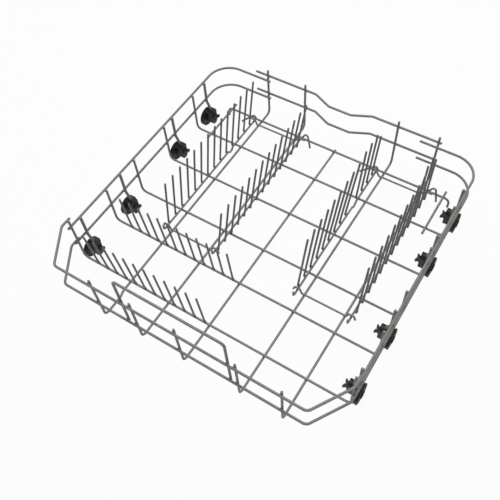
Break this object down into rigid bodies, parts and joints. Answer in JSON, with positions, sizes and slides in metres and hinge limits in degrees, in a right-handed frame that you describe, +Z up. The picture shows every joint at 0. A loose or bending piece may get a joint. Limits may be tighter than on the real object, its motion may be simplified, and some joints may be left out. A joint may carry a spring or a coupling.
{
  "type": "dishwasher basket",
  "caption": "Lower dishwasher basket of coated round wire with side rims, front handle, folding plate rows, fixed tines and side wheels.",
  "frame": {"origin": "middle of the box around the basket, at the level the wheels stand on", "axes": "+Z up, -Y towards the front with the handle, X across the basket"},
  "size_m": [0.5046, 0.5072, 0.1712],
  "materials": {
    "rim_wire": "satin grey coating",
    "thin_wire": "satin grey coating",
    "tine_wire": "satin grey coating",
    "wheel_plastic": "matt black",
    "holder_plastic": "matt dark grey"
  },
  "bodies": {
    "frame": {"cross_wire_1": "thin_wire", "cross_wire_2": "thin_wire", "cross_wire_3": "thin_wire", "cross_wire_4": "thin_wire", "cross_wire_5": "thin_wire", "fixed_tines_first": "tine_wire", "fixed_tines_second": "tine_wire", "front_bracket_left": "thin_wire", "front_bracket_right": "thin_wire", "front_handle": "rim_wire", "front_rail_lower": "rim_wire", "front_rail_upper": "rim_wire", "long_wire_1": "thin_wire", "long_wire_2": "thin_wire", "long_wire_3": "thin_wire", "long_wire_4": "thin_wire", "long_wire_5": "thin_wire", "lower_rim_left": "rim_wire", "lower_rim_right": "rim_wire", "rear_bracket_left": "thin_wire", "rear_bracket_right": "thin_wire", "rear_cross_wire": "thin_wire", "rear_rail_lower": "rim_wire", "rear_rail_upper": "rim_wire", "rear_tie_left": "thin_wire", "rear_tie_right": "thin_wire", "upper_rim_left": "rim_wire", "upper_rim_right": "rim_wire", "wheel_carriers_left": "rim_wire", "wheel_carriers_right": "rim_wire", "wheel_holders_left": "holder_plastic", "wheel_holders_right": "holder_plastic"},
    "plate_row_1": {"plate_row_1_shaft": "thin_wire", "plate_row_1_tines": "tine_wire"},
    "plate_row_2": {"plate_row_2_shaft": "thin_wire", "plate_row_2_tines": "tine_wire"},
    "plate_row_3": {"plate_row_3_shaft": "thin_wire", "plate_row_3_tines": "tine_wire"},
    "plate_row_4": {"plate_row_4_shaft": "thin_wire", "plate_row_4_tines": "tine_wire"},
    "wheel_left_1": {"wheel_left_1": "wheel_plastic"},
    "wheel_left_2": {"wheel_left_2": "wheel_plastic"},
    "wheel_left_3": {"wheel_left_3": "wheel_plastic"},
    "wheel_left_4": {"wheel_left_4": "wheel_plastic"},
    "wheel_right_1": {"wheel_right_1": "wheel_plastic"},
    "wheel_right_2": {"wheel_right_2": "wheel_plastic"},
    "wheel_right_3": {"wheel_right_3": "wheel_plastic"},
    "wheel_right_4": {"wheel_right_4": "wheel_plastic"}
  },
  "joints": [
    {"name": "plate_row_1_fold", "type": "hinge", "parent": "frame", "child": "plate_row_1", "pos_m": [-0.1588, 0, 0.024], "axis": [0, 1, 0], "range_deg": [0, 78]},
    {"name": "plate_row_2_fold", "type": "hinge", "parent": "frame", "child": "plate_row_2", "pos_m": [-0.0618, 0, 0.024], "axis": [0, -1, 0], "range_deg": [0, 95]},
    {"name": "plate_row_3_fold", "type": "hinge", "parent": "frame", "child": "plate_row_3", "pos_m": [0.0892, 0, 0.024], "axis": [0, 1, 0], "range_deg": [0, 80]},
    {"name": "plate_row_4_fold", "type": "hinge", "parent": "frame", "child": "plate_row_4", "pos_m": [0.1823, 0, 0.024], "axis": [0, -1, 0], "range_deg": [0, 89]},
    {"name": "wheel_left_1_spin", "type": "hinge", "parent": "frame", "child": "wheel_left_1", "pos_m": [-0.2468, -0.16, 0.0175], "axis": [1, 0, 0], "continuous": true},
    {"name": "wheel_left_2_spin", "type": "hinge", "parent": "frame", "child": "wheel_left_2", "pos_m": [-0.2468, -0.061, 0.0175], "axis": [1, 0, 0], "continuous": true},
    {"name": "wheel_left_3_spin", "type": "hinge", "parent": "frame", "child": "wheel_left_3", "pos_m": [-0.2468, 0.083, 0.0175], "axis": [1, 0, 0], "continuous": true},
    {"name": "wheel_left_4_spin", "type": "hinge", "parent": "frame", "child": "wheel_left_4", "pos_m": [-0.2468, 0.181, 0.0175], "axis": [1, 0, 0], "continuous": true},
    {"name": "wheel_right_1_spin", "type": "hinge", "parent": "frame", "child": "wheel_right_1", "pos_m": [0.2468, -0.16, 0.0175], "axis": [1, 0, 0], "continuous": true},
    {"name": "wheel_right_2_spin", "type": "hinge", "parent": "frame", "child": "wheel_right_2", "pos_m": [0.2468, -0.061, 0.0175], "axis": [1, 0, 0], "continuous": true},
    {"name": "wheel_right_3_spin", "type": "hinge", "parent": "frame", "child": "wheel_right_3", "pos_m": [0.2468, 0.083, 0.0175], "axis": [1, 0, 0], "continuous": true},
    {"name": "wheel_right_4_spin", "type": "hinge", "parent": "frame", "child": "wheel_right_4", "pos_m": [0.2468, 0.181, 0.0175], "axis": [1, 0, 0], "continuous": true}
  ]
}
